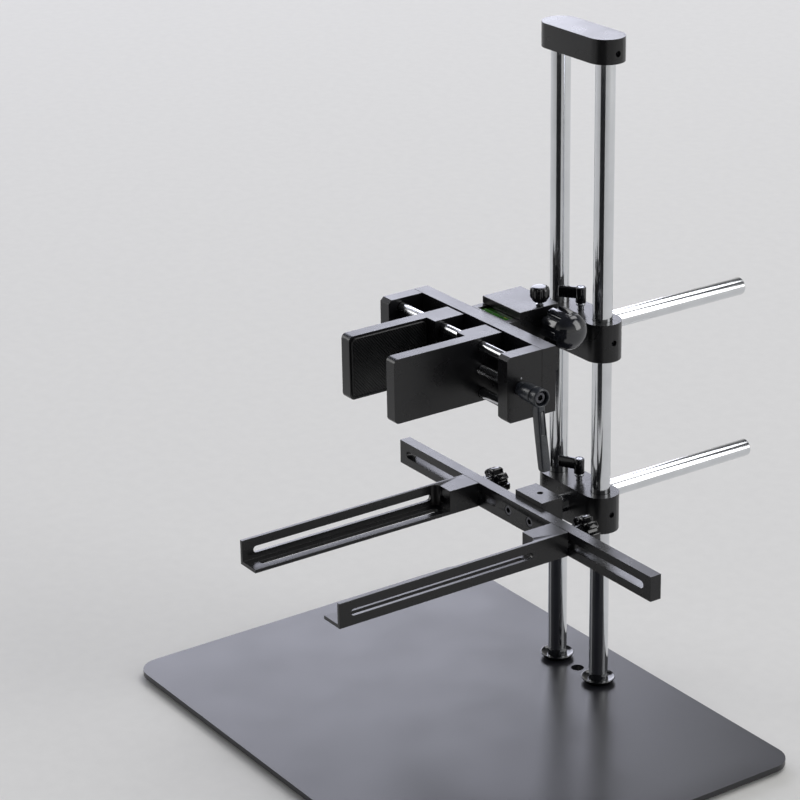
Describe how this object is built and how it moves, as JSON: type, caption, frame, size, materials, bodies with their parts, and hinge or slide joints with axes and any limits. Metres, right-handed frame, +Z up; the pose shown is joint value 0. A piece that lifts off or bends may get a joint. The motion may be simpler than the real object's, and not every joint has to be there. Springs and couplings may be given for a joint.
{
  "type": "camera stand",
  "caption": "Desktop camera stand: chromed columns on a flat base plate carry sliding crossheads, a screw clamp on a levelling head, and slotted L-shaped support arms on a crossbar.",
  "frame": {"origin": "on the floor under the middle of the overall outline", "axes": "+X to the right of someone facing the front, +Y towards the back, +Z up"},
  "size_m": [0.455, 0.4856, 0.5666],
  "materials": {
    "plate_coating": "satin powder coat on steel plate",
    "black_anodised": "bead-blasted, black anodised",
    "chrome": "hard chromed and polished",
    "black_steel": "blackened screw steel",
    "glossy_plastic": "moulded, glossy black",
    "die_cast_black": "fine textured black coat on a die casting",
    "black_rubber": "matt, ribbed",
    "green_vial": "clear vial with green fluid"
  },
  "bodies": {
    "stand": {"base_plate": "plate_coating", "top_cap": "black_anodised", "column_left": "chrome", "column_right": "chrome", "column_flange_left": "glossy_plastic", "column_flange_right": "glossy_plastic", "column_bolt_left": "black_steel", "column_bolt_right": "black_steel", "foot_front_left": "black_rubber", "foot_front_right": "black_rubber", "foot_rear_left": "black_rubber", "foot_rear_right": "black_rubber", "cap_set_screw_left": "black_steel", "cap_set_screw_right": "black_steel"},
    "upper_carriage": {"upper_crosshead": "black_anodised", "upper_set_screw_left": "black_steel", "upper_set_screw_right": "black_steel"},
    "upper_thumb_screw": {"upper_thumb_handle": "glossy_plastic", "upper_thumb_stud": "chrome"},
    "upper_arm": {"upper_rod": "chrome"},
    "clamp_head": {"head_body": "black_anodised", "head_top_plate": "black_anodised", "head_level_vial": "green_vial", "clamp_back_bar": "black_anodised", "guide_rod_lower": "chrome", "guide_rod_upper": "chrome", "clamp_end_plate_left": "black_anodised", "clamp_end_plate_right": "black_anodised", "head_screw_left": "black_steel", "head_screw_right": "black_steel", "end_screw_left_lower": "black_steel", "end_screw_left_upper": "black_steel", "end_screw_right_lower": "black_steel", "end_screw_right_upper": "black_steel"},
    "head_clamp": {"head_clamp_knob": "glossy_plastic", "head_clamp_stud": "chrome"},
    "head_lock": {"head_lock_knob": "glossy_plastic"},
    "clamp_drive": {"lead_screw": "chrome", "clamp_lever": "die_cast_black", "clamp_lever_screw": "black_steel"},
    "clamp_jaw_left": {"jaw_left": "black_anodised", "jaw_pad_left": "black_rubber"},
    "clamp_jaw_right": {"jaw_right": "black_anodised", "jaw_pad_right": "black_rubber"},
    "lower_carriage": {"lower_crosshead": "black_anodised", "lower_set_screw_left": "black_steel", "lower_set_screw_right": "black_steel"},
    "lower_thumb_screw": {"lower_thumb_handle": "glossy_plastic", "lower_thumb_stud": "chrome"},
    "lower_arm": {"lower_rod": "chrome", "bracket_block": "black_anodised", "bracket_set_screw": "black_steel", "crossbar": "black_anodised", "crossbar_screw_left": "black_steel", "crossbar_screw_right": "black_steel"},
    "support_left": {"arm_left": "black_anodised"},
    "support_right": {"arm_right": "black_anodised"},
    "support_knob_left": {"star_knob_left": "glossy_plastic"},
    "support_knob_right": {"star_knob_right": "glossy_plastic"}
  },
  "joints": [
    {"name": "upper_height", "type": "slide", "parent": "stand", "child": "upper_carriage", "axis": [0, 0, 1], "range_m": [-0.04, 0.19]},
    {"name": "lower_height", "type": "slide", "parent": "stand", "child": "lower_carriage", "axis": [0, 0, 1], "range_m": [-0.13, 0.04]},
    {"name": "upper_thumb_turn", "type": "hinge", "parent": "upper_carriage", "child": "upper_thumb_screw", "pos_m": [0, 0.06075, 0.317], "axis": [0, 0, 1], "continuous": true},
    {"name": "lower_thumb_turn", "type": "hinge", "parent": "lower_carriage", "child": "lower_thumb_screw", "pos_m": [0, 0.06075, 0.1665], "axis": [0, 0, 1], "continuous": true},
    {"name": "upper_reach", "type": "slide", "parent": "upper_carriage", "child": "upper_arm", "axis": [0, 1, 0], "range_m": [-0.15, 0.015]},
    {"name": "lower_reach", "type": "slide", "parent": "lower_carriage", "child": "lower_arm", "axis": [0, 1, 0], "range_m": [-0.16, 0.014]},
    {"name": "head_roll", "type": "hinge", "parent": "upper_arm", "child": "clamp_head", "pos_m": [0, -0.00125, 0.317], "axis": [0, 1, 0], "range_deg": [-90, 90]},
    {"name": "head_clamp_turn", "type": "hinge", "parent": "clamp_head", "child": "head_clamp", "pos_m": [0.025, 0.01025, 0.341], "axis": [1, 0, 0], "continuous": true},
    {"name": "head_lock_turn", "type": "hinge", "parent": "clamp_head", "child": "head_lock", "pos_m": [0.0202, 0.00375, 0.349], "axis": [0, 0, 1], "continuous": true},
    {"name": "clamp_screw_turn", "type": "hinge", "parent": "clamp_head", "child": "clamp_drive", "pos_m": [0, -0.06435, 0.322], "axis": [1, 0, 0], "range_deg": [-1260, 3285]},
    {"name": "jaw_left_slide", "type": "slide", "parent": "clamp_head", "child": "clamp_jaw_left", "axis": [1, 0, 0], "range_m": [-0.03651, 0.01401]},
    {"name": "jaw_right_slide", "type": "slide", "parent": "clamp_head", "child": "clamp_jaw_right", "axis": [1, 0, 0], "range_m": [-0.01401, 0.03651]},
    {"name": "support_left_slide", "type": "slide", "parent": "lower_arm", "child": "support_left", "axis": [1, 0, 0], "range_m": [-0.09, 0.031]},
    {"name": "support_right_slide", "type": "slide", "parent": "lower_arm", "child": "support_right", "axis": [1, 0, 0], "range_m": [-0.021, 0.102]},
    {"name": "support_knob_left_turn", "type": "hinge", "parent": "support_left", "child": "support_knob_left", "pos_m": [-0.0659, -0.00265, 0.1665], "axis": [0, 1, 0], "continuous": true},
    {"name": "support_knob_right_turn", "type": "hinge", "parent": "support_right", "child": "support_knob_right", "pos_m": [0.0559, -0.00265, 0.1665], "axis": [0, 1, 0], "continuous": true}
  ],
  "couplings": [
    {"joint": "jaw_left_slide", "follows": "clamp_screw_turn", "m_per_rad": -0.00063662},
    {"joint": "jaw_right_slide", "follows": "clamp_screw_turn", "m_per_rad": 0.00063662}
  ]
}
